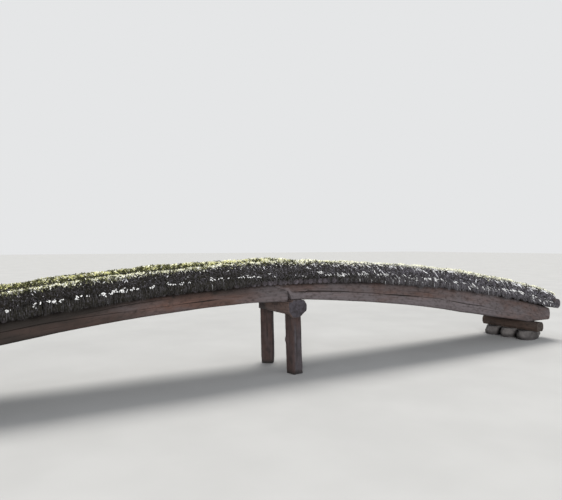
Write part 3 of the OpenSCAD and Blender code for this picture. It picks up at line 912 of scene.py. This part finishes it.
def bank_stone(end, row):
    """A boulder with the frame's outline, roughened, on a flat bed and with a flat top."""
    seed = 23 + 12 * end + 8 * row
    t = np.concatenate([[0, 0.004], np.linspace(0.03, 0.97, 24), [0.996, 1]])[:, None]
    a = np.linspace(0, 2 * np.pi, STONE_POINTS, endpoint=False)
    swell = 0.8 + 0.2 * np.sin(np.radians(27 + 135 * t))
    r = swell * (1 + 0.06 * np.sin(2 * a + math.radians(40 * seed))
                 + 0.05 * np.sin(3 * a + np.radians(90 * t + 70 * seed)))
    height = BANK_SEAT[end] - SILL_H
    rings = vectors(STONE_W / 2 * r * np.cos(a), STONE_D / 2 * r * np.sin(a), height * t)
    free = blend(t, 0.0, 0.12) * (1 - blend(t, 0.9, 1.0))
    lumps = 0.016 * fbm(rings * 7, 4, seed) - 0.006 * np.abs(noise(rings * 18, seed + 2))
    rings, _ = close_ends(pushed(rings, lumps * free - 0.004), (0.1, 0.4, 0.7, 0.92))
    points = rings + (end * SILL_X + 0.03 * vary(seed), row * GIRDER_GAP / 2, 0)
    damp_and_shade = 0.8 * (1 - blend(points[..., 2], 0.04, 0.13)) + 0.2 * noise(points * 5, 3)
    name = f"{ENDS[end]}_{SIDES[row]}"
    Solid().add_tube(points, points, 0.0, np.clip(damp_and_shade, 0, 1), 0.0).piece(
        f"boulder_{name}", bank_rock, "stone", [f"{name}_stone"])


# Turf

RIM_R = TURF_W * 0.28
RIM_HALF_W = RIM_R * 1.15
KERB_BULGE = 0.02
RIM_Y = TURF_W - KERB_BULGE - RIM_HALF_W
KERB_OUTLINE, KERB_PLACE = lap(np.array(
    [(0, 0), (0, EARTH_T)]
    + [(RIM_Y + RIM_HALF_W * math.cos(math.radians(a)),
        TURF_H - RIM_R + RIM_R * math.sin(math.radians(a))) for a in range(150, 20, -15)]
    + [(TURF_W, TURF_H * 0.55), (TURF_W - 0.005, TURF_H * 0.25), (TURF_W - KERB_BULGE, 0)]))

# Shares of the way round a kerb's section
INNER_TOP, RIM_START, RIM_OUT, OUTER_FOOT = 0.13, 0.26, 0.455, 0.70

# How often a leaf on the side is bleached, how light the side's leaves are, which is painted shade
# at the left and painted light at the right, how strong the rim's painted highlights are, how often a
# straw hangs under it, and how far the dead grass hangs, by place along the bridge
PALE_CHANCE = {-8: 0.01, -3: 0.01, -1: 0.02, 0.4: 0.03, 1.2: 0.06, 3: 0.10, 8: 0.12}
SIDE_LIGHT = {-8: 0.03, -4: 0.05, -1: 0.14, 1: 0.22, 2.5: 0.31, 4: 0.35, 8: 0.40}
RIM_BRIGHT = {-8: 0.6, -3: 0.85, 0: 1.1, 0.8: 1.9, 2.5: 1.9, 4: 1.8, 5: 1.2, 8: 1.1}
STRAW_CHANCE = {-8: 0.01, -1: 0.02, 0.4: 0.04, 1.2: 0.07, 2.2: 0.045, 8: 0.055}
HANG = {-8: 0.04, -1.6: 0.035, -0.9: 0, 0.5: 0, 1.5: 0.05, 3: 0.10, 7.3: 0.10, 8: 0.02}

# Kinds of leaves on a kerb length: number, shares of the section from and to, lift off the sods,
# upward pull, length, width, droop, and how often they carry painted highlights on the rim
LEAF_KINDS = (
    (2600, RIM_START, RIM_OUT + 0.03, 1.6, 0.6, 0.044, 0.014, 0.3, 0.60),
    (3600, RIM_START + 0.02, RIM_OUT + 0.01, 0.30, 0.2, 0.046, 0.027, 0.2, 0.85),
    (2000, INNER_TOP, RIM_START, 0.6, 0.2, 0.040, 0.014, 0.4, 0.10),
    (3000, RIM_OUT - 0.02, OUTER_FOOT, 1.2, 0.1, 0.042, 0.012, 0.5, 0.3),
    (4200, RIM_OUT - 0.01, OUTER_FOOT, 0.35, 0.0, 0.050, 0.014, 0.3, 0.3),
)

# Pale leaf ends on the side, bleached and painted sunlit: place along the bridge, half length,
# and number of bunches, and the line that they follow, as distances outside the floor's centre
# line by place
BUNCHES = ((-7.4, 0.4, 9), (-6.5, 0.3, 8), (-5.7, 0.3, 7), (-4.9, 0.06, 3), (-4.61, 0.07, 3),
           (-4.35, 0.10, 7), (-3.94, 0.15, 5), (-3.45, 0.13, 20), (-3.15, 0.06, 3), (-2.88, 0.04, 3),
           (-2.40, 0.18, 9), (-1.70, 0.15, 7), (-1.10, 0.25, 10), (-0.60, 0.1, 2), (0.02, 0.05, 2),
           (0.45, 0.12, 4), (0.95, 0.18, 5), (1.45, 0.2, 5), (2.0, 0.2, 5), (2.5, 0.2, 4),
           (3.0, 0.2, 5), (3.5, 0.2, 5), (4.1, 0.2, 4), (4.6, 0.25, 5), (5.2, 0.2, 3),
           (5.8, 0.25, 6), (6.4, 0.25, 6), (7.0, 0.25, 5), (7.6, 0.2, 5))
BUNCH_LINE = {-8: 0.11, -4.9: 0.107, -4.6: 0.120, -4.3: 0.130, -4.0: 0.118, -3.5: 0.128, -2.9: 0.137,
              -2.6: 0.128, -2.0: 0.146, -1.3: 0.130, -0.8: 0.130, 0: 0.09, 0.4: 0.135, 0.9: 0.085,
              1.4: 0.12, 1.75: 0.113, 2.3: 0.065, 2.7: 0.042, 3.6: 0.088, 4.3: 0.055, 4.9: 0.03,
              5.8: 0.08, 6.2: 0.105, 6.9: 0.04, 7.3: 0.02, 8: 0.06}
TURF_REACH = 7.98


def on_arch(turn, out, y):
    """Points from angles along the arch, distances outside the floor's centre line, and places
    across the bridge."""
    return vectors((ARCH_R + out) * np.sin(turn), y, ARCH_Z + (ARCH_R + out) * np.cos(turn))


def over_arch(x, out, y):
    """The same from places along the bridge."""
    return on_arch(np.arcsin(x / (ARCH_R + out)), out, y)


def clear_of_end_logs(points):
    """Moves points that would lie in an end log out to its bark."""
    bark = END_LOG_R + 0.002
    for end in ENDS:
        heart = np.array(end_log_heart(end))
        gap = points[..., ::2] - heart
        reach = np.linalg.norm(gap, axis=-1, keepdims=True)
        moved = np.where(reach < bark, heart + gap / np.maximum(reach, 1e-6) * bark, points[..., ::2])
        points = vectors(moved[..., 0], points[..., 1], moved[..., 1])
    return points


def kerb_section(share):
    """Place across and height on a kerb's section, at shares of the way round it."""
    return [np.interp(share, KERB_PLACE / KERB_PLACE[-1], values) for values in KERB_OUTLINE.T]


def kerb_surface(turn, share, side):
    """Points of the sods' skin, its outward normals, and its height over the logs, at shares of
    the way round the section."""
    turn, share = np.broadcast_arrays(turn, share)
    y, out = kerb_section(share)
    ahead, behind = kerb_section(share + 0.02), kerb_section(share - 0.02)
    across = unit(vectors(behind[1] - ahead[1], ahead[0] - behind[0]))
    along = turn * ARCH_R
    flat = vectors(along, out, y + side * 3)
    lump = 0.020 * fbm(flat * (5, 9, 9), 3, 31) + 0.008 * noise(flat * 34, 41)
    sag = 0.012 * wander(along, 47 + side, 1.1) + 0.014 * bell(along, 0.7)
    free = blend(out, 0.0, 0.05)
    inset = (-0.026 + lump) * free - 0.03 * blend(np.abs(turn), KERB_TURN - 0.004, KERB_TURN)
    y = y + across[..., 0] * inset
    out = out + across[..., 1] * inset + sag * blend(out, 0.1, 0.3)
    points = on_arch(turn, BED_OUT + out - 0.006 * (1 - free), side * (WALK_HALF + y))
    normal = vectors(across[..., 1] * np.sin(turn), side * across[..., 0], across[..., 1] * np.cos(turn))
    return clear_of_end_logs(points), normal, out


def lit_rim_share(share, x):
    """How far a place on the sods belongs to the mossy rim, which is painted lit, and not to the
    side, which is painted in shade.
    """
    edge = RIM_OUT - 0.004 + 0.012 * blend(x, 3, 5) - 0.024 * bell(x + 1.2, 0.9)
    inside = blend(share, RIM_START - 0.03, RIM_START + 0.02)
    return inside * (1 - blend(share, edge - 0.03, edge + 0.03))


def kerb_nodes(side, *parts):
    """The frame's nodes for some lengths of a kerb, with the sods over the end logs."""
    over_ends = {KERB_PARTS[0]: ["left_end_turf"], KERB_PARTS[-1]: ["right_end_turf"]}
    kinds = [kind for part in parts for kind in [f"turf_{part}"] + over_ends.get(part, [])]
    return [f"{SIDES[side]}_{kind}" for kind in kinds]


def kerb(side, part):
    """One length of turf kerb: its sods and the leaves that grow out of them."""
    start, stop = KERB_JOINTS[part - 1], KERB_JOINTS[part]
    turns = np.linspace(start, stop, KERB_RINGS)[:, None]
    share = np.linspace(0, 1, KERB_POINTS, endpoint=False)
    rings, _, out = kerb_surface(turns, share, side)
    rim = lit_rim_share(share, rings[..., 0])
    if side > 0:
        rings, out, rim = (values[:, ::-1] for values in (rings, out, rim))
    rings, cut = close_ends(rings, (0.1, 0.5, 0.9), 0.0)
    # Darker at the sods' foot, where they meet the logs: painted shade with some dampness.
    damp_and_shade = 0.6 * (1 - blend(to_ends(out, cut), 0.0, 0.12))
    sods = Solid().add_tube(rings, rings, to_ends(rim, cut, "constant"), damp_and_shade, 0.0)
    nodes = kerb_nodes(side, part)
    sods.piece(f"{SIDES[side]}_sods_{part}", sod_moss, "turf", nodes, 80)
    leaves(side, part, start, stop).piece(f"{SIDES[side]}_leaves_{part}", grass_leaf, "turf", nodes, 180)


def strips(base, direction, facing, length, width, droop):
    """Bent leaves of five points each, which narrow to their tips and turn their flat to facing."""
    def point_at(share, fall):
        return base + direction * (length * share)[:, None] - vectors(0, 0, length * droop * fall)

    w = unit(np.cross(direction, facing)) * width[:, None] / 2
    middle = point_at(0.55, 0.18)
    return np.stack([base - w * 0.8, base + w * 0.8, middle + w, middle - w, point_at(1, 0.62)], 1)


def leaves(side, part, start, stop):
    """The leaves of one kerb length: upright and painted lit on the rim, hanging and painted in shade
    on the side.
    """
    rng = np.random.default_rng(1000 + 10 * part + (5 if side > 0 else 0))
    solid = Solid()
    for count, low, high, lift, rise, length, width, droop, rim_highlight in LEAF_KINDS:
        share = rng.uniform(low, high, count)
        base, normal, _ = kerb_surface(rng.uniform(start, stop, count), share, side)
        x = base[:, 0]
        loose = rng.normal(size=(count, 3))
        loose = unit(loose - normal * np.sum(loose * normal, -1, keepdims=True))
        direction = unit(loose + normal * lift * rng.uniform(0.3, 1.7, (count, 1)) + (0, 0, rise))
        facing = normal + 0.45 * rng.normal(size=(count, 3))
        tuft = 1 + (0.6 * bell(x - 0.05, 0.5) + 0.5 * bell(x - 4.8, 0.6)) * (share < RIM_OUT)
        size = length * rng.uniform(0.6, 1.4, count) * tuft
        points = strips(base - normal * 0.006, direction, facing, size,
                        width * rng.uniform(0.7, 1.3, count), droop)
        # Clumps on the rim: painted highlights on them and painted shade in the pits between them.
        clump = blend(noise(base * 19, 77) + 0.7 * noise(base * 47, 79), -0.3, 0.3)
        rim = np.clip(lit_rim_share(share + 0.022 * rng.normal(size=count), x), 0, 1)
        even = 0.8 * blend(x, 0.2, 1.5)
        # Painted highlights on the rim, stronger towards its outer top and by place along the bridge,
        # and fewer on the far kerb.
        bright = rim_highlight * graded(x, RIM_BRIGHT) * (0.3 + 0.7 * blend(share, 0.28, 0.36))
        bright = bright * (0.75 if side > 0 else 1) * (0.05 + even + (1.8 - even) * clump)
        chance = rim * bright + (1 - rim) * 0.3 * graded(x, PALE_CHANCE)
        pale = (rng.random(count) < chance) * rng.uniform(0.6, 1.0, count)
        # Tone: the rim's painted light and shade by clump, and the side's painted shade and light from
        # SIDE_LIGHT.
        tone = rim * (0.05 + 0.95 * clump) + (1 - rim) * graded(x, SIDE_LIGHT) * (0.75 + 0.5 * clump)
        tone = np.clip(tone + (0.12 + 0.10 * rim) * rng.normal(size=count), 0, 1)
        solid.add_leaves(points, pale, rim, tone)
    straws(solid, rng, start, stop, side)
    return solid


def straws(solid, rng, start, stop, side):
    """Bleached straws that hang from under the rim, seldom at the left and often at the right."""
    turn = rng.uniform(start, stop, STRAWS)
    turn = turn[rng.random(STRAWS) < graded(turn * ARCH_R, STRAW_CHANCE)]
    count = len(turn)
    share = RIM_OUT + 0.005 + np.abs(rng.normal(0, 0.035, count))
    base, normal, _ = kerb_surface(turn, np.minimum(share, OUTER_FOOT - 0.03), side)
    lean = rng.choice((-1.0, 1.0), count, p=(0.2, 0.8)) * rng.uniform(0.3, 1.0, count)
    direction = unit(vectors(lean, 0, -rng.uniform(0.3, 1.0, count)) + 0.30 * normal)
    facing = normal + 0.3 * rng.normal(size=(count, 3))
    long = 1 + 1.2 * blend(base[:, 0], 0.3, 3)
    points = strips(base + 0.006 * normal, direction, facing, rng.uniform(0.035, 0.065, count) * long,
                    rng.uniform(0.010, 0.016, count) * long ** 0.4, 0.1)
    solid.add_leaves(points, rng.uniform(0.7, 1, count), 0, rng.uniform(0.5, 1, count))


def bleached_sunlit_specks(side):
    """Pale leaf ends that stick out of the side in small bunches along a broken line, bleached and
    painted sunlit. They are short at the left and longer, like straws, at the right."""
    rng = np.random.default_rng(2000 + side)
    middle = np.concatenate([rng.normal(place, half * 0.7, number) for place, half, number in BUNCHES])
    height = graded(middle, BUNCH_LINE) + 0.012 * rng.normal(size=len(middle))
    x, out = np.repeat(middle, 3), np.repeat(height, 3)
    count = len(x)
    strawy = blend(x, -0.1, 0.6)
    tilt = strawy[:, None]
    x = np.clip(x + (0.013 + 0.05 * strawy) * rng.normal(size=count), -TURF_REACH, TURF_REACH)
    out = out + 0.030 * strawy + (0.007 + 0.013 * strawy) * rng.normal(size=count)
    y = graded(out - BED_OUT, {-0.05: 0.42, 0.01: 0.41, 0.06: 0.355, 0.176: 0.345, 0.24: 0.325})
    base = over_arch(x, out, side * (WALK_HALF + y - 0.010))
    direction = rng.normal(size=(count, 3)) * (1, 0.2, 1) * (1 - 0.65 * tilt)
    direction = unit(direction + (0, 0.45 * side, -0.1) + tilt * (0.9, -0.2 * side, -0.7))
    facing = 0.35 * rng.normal(size=(count, 3)) + (0, side, 0.35)
    size = graded(x, {-2.9: 0.75, -2.4: 0.6, 0: 0.6, 0.5: 0.85, 3: 1.2})
    points = strips(base, direction, facing, rng.uniform(0.026, 0.044, count) * size * (1 + strawy),
                    rng.uniform(0.016, 0.026, count) * size * (1 - 0.45 * strawy), 0.2)
    Solid().add_leaves(points, rng.uniform(0.75, 1, count), 0.2, rng.uniform(0.5, 1, count)).piece(
        f"{SIDES[side]}_bleached_sunlit_leaves", grass_leaf, "turf", kerb_nodes(side, *KERB_PARTS), 180)


def hanging_fringe(side):
    """Dead grass that hangs over the log ends, thin at the crown and thick towards the banks."""
    rng = np.random.default_rng(2500 + side)
    x = rng.uniform(-TURF_REACH, TURF_REACH, HANGING_LEAVES)
    clump = 0.5 + 0.5 * noise(vectors(x * 9, 0, 4 * side), 91)
    x = x[rng.random(HANGING_LEAVES) < graded(x, VEIL) * (0.35 + 0.8 * clump)]
    count = len(x)
    root_height = rng.uniform(0.0, 0.09, count)
    ragged = 0.85 + 0.3 * noise(vectors(x * 7, 0, 0), 95)
    drop = (rng.uniform(0.02, 0.10, count) + root_height) * ragged + graded(x, HANG)
    drop = np.maximum(drop, 0.01)
    lean = rng.normal(size=count) * 0.014
    root = over_arch(x, BED_OUT + root_height, side * (WALK_HALF + 0.295))
    reach = FLOOR_W / 2 + LOG_VARY_LEN + rng.uniform(-0.012, 0.016, count)
    middle = vectors(root[:, 0] + lean * 0.5, side * reach, root[:, 2] - 0.45 * drop)
    tip = vectors(root[:, 0] + lean, side * (reach - rng.uniform(0.0, 0.012, count)), root[:, 2] - drop)
    w = vectors(rng.uniform(0.6, 1.0, count), 0.5 * rng.normal(size=count), 0.2 * rng.normal(size=count))
    w = w * rng.uniform(0.004, 0.009, count)[:, None]
    points = np.stack([root - w, root + w, middle + w, middle - w, tip], 1)
    pale = (rng.random(count) < 0.2 * graded(x, PALE_CHANCE)) * rng.uniform(0.3, 0.9, count)
    # The hanging grass is dark with the side's painted shade, lighter towards the right.
    tone = (0.3 + 0.3 * blend(x, 0.5, 4)) * graded(x, SIDE_LIGHT) + 0.07 * rng.normal(size=count)
    Solid().add_leaves(points, pale, 0, np.clip(tone, 0, 1)).piece(
        f"{SIDES[side]}_hanging_grass", grass_leaf, "turf", kerb_nodes(side, *KERB_PARTS), 180)


# Earth

def walkway(end):
    """The trodden earth path on one side of the crown, with its gravel."""
    turns = np.linspace(min(end, 0) * BED_TURN, max(end, 0) * BED_TURN, PATH_RINGS)[:, None]
    across = np.concatenate([np.linspace(-1, 1, PATH_POINTS[0]), np.linspace(1, -1, PATH_POINTS[1])])
    top = np.repeat([1, 0], PATH_POINTS)
    y = across * (WALK_HALF + 0.03 * top)
    out = np.where(top > 0, EARTH_T + CAMBER * (1 - across ** 2), -0.004)
    flat = vectors(turns * ARCH_R, y, 0.5)
    worn = 0.007 * fbm(flat * (1.3, 3.0, 1), 4, 51) + 0.0025 * noise(flat * 38, 55)
    trodden = 0.010 * bell(np.abs(y) - 0.17, 0.13)
    rings = on_arch(turns, BED_OUT + out + top * (worn - trodden - 0.002), y)[:, ::-1]
    rings, _ = close_ends(rings, (0.1, 0.5, 0.9), 0.0)
    edge = blend(np.abs(rings[..., 1]), WALK_HALF - 0.16, WALK_HALF)
    nodes = [f"earth_{i}" for i in (range(1, 5) if end < 0 else range(5, 9))]
    path = Solid().add_tube(rings, rings, 0.0, 0.55 * edge, 0.0)
    path.piece(f"{ENDS[end]}_path", path_earth, "earth", nodes, 60)
    gravel(end).piece(f"{ENDS[end]}_gravel", pebble_stone, "earth", nodes, 60)


def pebble_form():
    """Corners and faces of a solid with twenty sides."""
    golden = (1 + 5 ** 0.5) / 2
    signs = [(a, b) for a in (-1, 1) for b in (-1, 1)]
    corners = [(a, b * golden, 0) for a, b in signs]
    corners += [(0, a, b * golden) for a, b in signs]
    corners += [(a * golden, 0, b) for a, b in signs]
    corners = unit(np.array(corners))
    faces = []
    for trio in itertools.combinations(range(12), 3):
        a, b, c = corners[list(trio)]
        if max(np.linalg.norm(edge) for edge in (a - b, b - c, a - c)) < 1.1:
            faces.append(trio if np.dot(np.cross(b - a, c - a), a) > 0 else trio[::-1])
    return corners, np.array(faces)


def gravel(end):
    """Small stones that lie in the path."""
    rng = np.random.default_rng(3000 + end)
    corners, faces = pebble_form()
    turn = rng.uniform(0, BED_TURN, PEBBLES) * end
    y = rng.normal(0, 0.3, PEBBLES).clip(-0.5, 0.5)
    size = rng.uniform(0.004, 0.011, PEBBLES)
    out = EARTH_T + CAMBER * (1 - (y / WALK_HALF) ** 2) - 0.004
    shape = corners * rng.uniform(0.7, 1.3, (PEBBLES, 12, 1)) * rng.uniform(0.6, 1.2, (PEBBLES, 1, 3))
    points = on_arch(turn, BED_OUT + out, y)[:, None] + shape * size[:, None, None]
    flat = points.reshape(-1, 3)
    all_faces = (np.arange(PEBBLES)[:, None, None] * 12 + faces).reshape(-1, 3).tolist()
    return Solid().add(flat, all_faces, flat, np.zeros_like(flat))


# Stage

FRAME_WIDTH = 562
FOCAL_LENGTH = 510
CAMERA_PLACE = (-5.151, -9.035, 2.486)
CAMERA_YAW = 29.8
CAMERA_PITCH = -0.49
FLOOR_REACH = 150.0


def camera():
    """The photograph's view. The frame's width and the focal length are in pixels."""
    data = bpy.data.cameras.new("photo_camera")
    data.sensor_width = 36
    data.lens = data.sensor_width * FOCAL_LENGTH / FRAME_WIDTH
    data.clip_end = 400
    obj = show("photo_camera", data)
    obj.matrix_world = (Matrix.Translation(CAMERA_PLACE)
                        @ Matrix.Rotation(math.radians(-CAMERA_YAW), 4, "Z")
                        @ Matrix.Rotation(math.radians(90 + CAMERA_PITCH), 4, "X"))
    bpy.context.scene.camera = obj


def pale_floor():
    s = new_surface("floor_material")
    tone = s.ramp(s.noise(s.position(), 0.6), 0.3, 0.7)
    mesh = bpy.data.meshes.new("floor")
    corners = [(x * FLOOR_REACH, y * FLOOR_REACH, 0) for x, y in ((-1, -1), (1, -1), (1, 1), (-1, 1))]
    mesh.from_pydata(corners, [], [(0, 1, 2, 3)])
    mesh.materials.append(s.done(s.mix(tone, rgb(190, 190, 189), rgb(195, 195, 194)), 0.9, 0.0))
    show("floor", mesh)


def lamp(name, energy, source, spread, color=(1, 1, 1)):
    """Soft light that comes from a direction, as wide as the spread in degrees."""
    data = bpy.data.lights.new(name, "SUN")
    data.energy = energy
    data.color = color
    data.angle = math.radians(spread)
    x, y, z = source
    show(name, data).rotation_euler = (math.atan2(math.hypot(x, y), z), 0, math.atan2(x, -y))


def world():
    """Even pale light, and a pale backdrop where the camera looks past the floor."""
    s = Shader(bpy.data.worlds.new("studio"))
    bpy.context.scene.world = s.owner
    s.tree.nodes.clear()
    rays = s.node("ShaderNodeLightPath", 0, {}).node.outputs
    seen = rays["Is Camera Ray"]
    for other in ("Is Glossy Ray", "Is Transmission Ray"):
        seen = s.math("ADD", seen, rays[other], True)
    light = s.node("ShaderNodeBackground", 0, {"Color": (0.93, 0.96, 1.0, 1), "Strength": 0.55})
    backdrop = s.node("ShaderNodeBackground", 0, {"Color": rgb(229, 230, 231)})
    both = s.node("ShaderNodeMixShader", 0, {"Fac": seen, 1: light, 2: backdrop})
    s.fill(s.tree.nodes.new("ShaderNodeOutputWorld"), {"Surface": both})


def bridge():
    """All pieces of the bridge, from the pier up."""
    for side in (-1, 1):
        post(side)
        for end in ENDS:
            girder(side, end)
    cap_log()
    for bay in range(1, BAYS + 1):
        floor_bay(bay)
    for make in (end_log, sill_log):
        for end in ENDS:
            make(end)
    for end in ENDS:
        for row in SIDES:
            bank_stone(end, row)
    for side in (-1, 1):
        for part in KERB_PARTS:
            kerb(side, part)
        bleached_sunlit_specks(side)
        hanging_fringe(side)
    for end in ENDS:
        walkway(end)


bridge()
camera()
pale_floor()
world()
lamp("soft_sun", 2.5, (6, 6, 20), 30, (1.0, 0.97, 0.92))
lamp("front_fill", 2.2, (-9, -14, 2.9), 18)
bpy.context.scene.view_settings.view_transform = "Standard"
